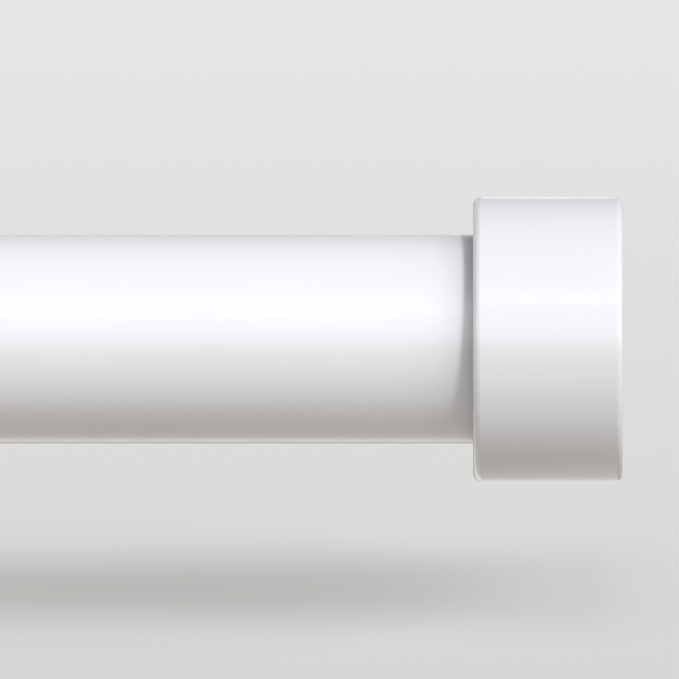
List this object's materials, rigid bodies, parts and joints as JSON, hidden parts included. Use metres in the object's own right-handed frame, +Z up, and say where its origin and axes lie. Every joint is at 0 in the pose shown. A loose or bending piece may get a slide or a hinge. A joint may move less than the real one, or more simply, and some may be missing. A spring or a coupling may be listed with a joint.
{
  "type": "telescoping curtain rod",
  "caption": "White telescoping curtain rod: a thin tube slides in a wider one, and plain round push-in caps close both ends.",
  "frame": {"origin": "on the rod's axis, midway between the two end faces of the closed rod", "axes": "+X along the rod towards the cap on the wider tube, +Z up, -Y towards the room"},
  "size_m": [0.7476, 0.0346, 0.0346],
  "materials": {
    "white_paint": "smooth satin white paint on steel tube and cast caps",
    "collar_plastic": "white moulded plastic",
    "insert_nylon": "natural moulded nylon",
    "glide_acetal": "moulded acetal",
    "screw_steel": "zinc-plated steel"
  },
  "bodies": {
    "outer_section": {"outer_tube": "white_paint", "mouth_collar": "collar_plastic"},
    "right_cap": {"right_end_cap": "white_paint", "right_insert": "insert_nylon", "right_insert_screw": "screw_steel"},
    "inner_section": {"inner_tube": "white_paint", "inner_glide": "glide_acetal"},
    "left_cap": {"left_end_cap": "white_paint", "left_reducer": "collar_plastic", "left_insert": "insert_nylon", "left_insert_screw": "screw_steel"}
  },
  "joints": [
    {"name": "draw_out", "type": "slide", "parent": "outer_section", "child": "inner_section", "axis": [-1, 0, 0], "range_m": [0, 0.508]},
    {"name": "right_cap_pull", "type": "slide", "parent": "outer_section", "child": "right_cap", "axis": [1, 0, 0], "range_m": [0, 0.06]},
    {"name": "left_cap_pull", "type": "slide", "parent": "inner_section", "child": "left_cap", "axis": [-1, 0, 0], "range_m": [0, 0.06]}
  ]
}
